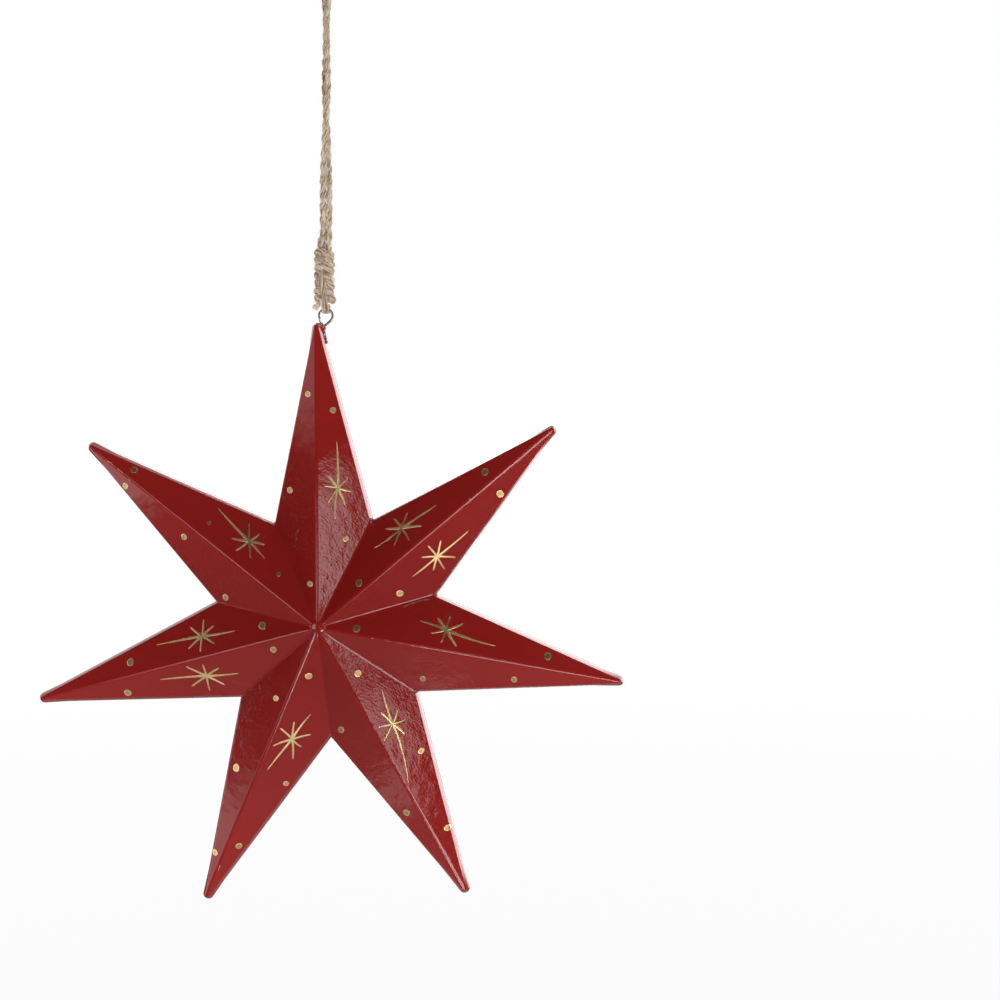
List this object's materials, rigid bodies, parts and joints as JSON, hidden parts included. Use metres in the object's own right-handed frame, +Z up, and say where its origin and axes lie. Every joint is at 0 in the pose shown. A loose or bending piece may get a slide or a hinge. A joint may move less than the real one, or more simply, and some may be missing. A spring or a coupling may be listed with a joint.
{
  "type": "star ornament",
  "caption": "Pointed hollow star in two moulded faceted halves, hung by a wire eye on a knotted loop of jute twine.",
  "frame": {"origin": "inside of the twine loop's top, where the ornament hangs on its peg", "axes": "+Z up along the hanging loop, the star's front face towards -Y, +X to the right seen from the front"},
  "size_m": [0.2917, 0.0552, 0.4876],
  "materials": {
    "red_lacquer": "gloss red lacquer over moulded papier-mache, with hand-painted gold marks",
    "galvanised_wire": "drawn galvanised wire",
    "pulp_and_glue": "matt pulp and glue",
    "lacquered_glue": "drop of glue under the red lacquer",
    "jute_twine": "twisted natural jute, matt and hairy"
  },
  "bodies": {
    "cord": {"hanging_cord": "jute_twine"},
    "knot": {"knot_core": "jute_twine", "knot_winding": "jute_twine", "knot_strand": "jute_twine", "cord_tail": "jute_twine", "cord_end": "jute_twine"},
    "bight": {"eye_bight": "jute_twine"},
    "star": {"front_shell": "red_lacquer", "back_shell": "red_lacquer", "hanging_eye": "galvanised_wire", "tip_plug": "pulp_and_glue", "seam_bead": "lacquered_glue"}
  },
  "joints": [
    {"name": "cord_twist", "type": "hinge", "parent": "cord", "child": "knot", "pos_m": [0, 0, -0.16], "axis": [0, 0, 1], "range_deg": [-180, 180]},
    {"name": "star_tilt", "type": "hinge", "parent": "knot", "child": "bight", "pos_m": [0, 0, -0.18774], "axis": [0, 1, 0], "range_deg": [-10, 10]},
    {"name": "star_swing", "type": "hinge", "parent": "bight", "child": "star", "pos_m": [0, 0, -0.19054], "axis": [1, 0, 0], "range_deg": [-40, 40]}
  ]
}
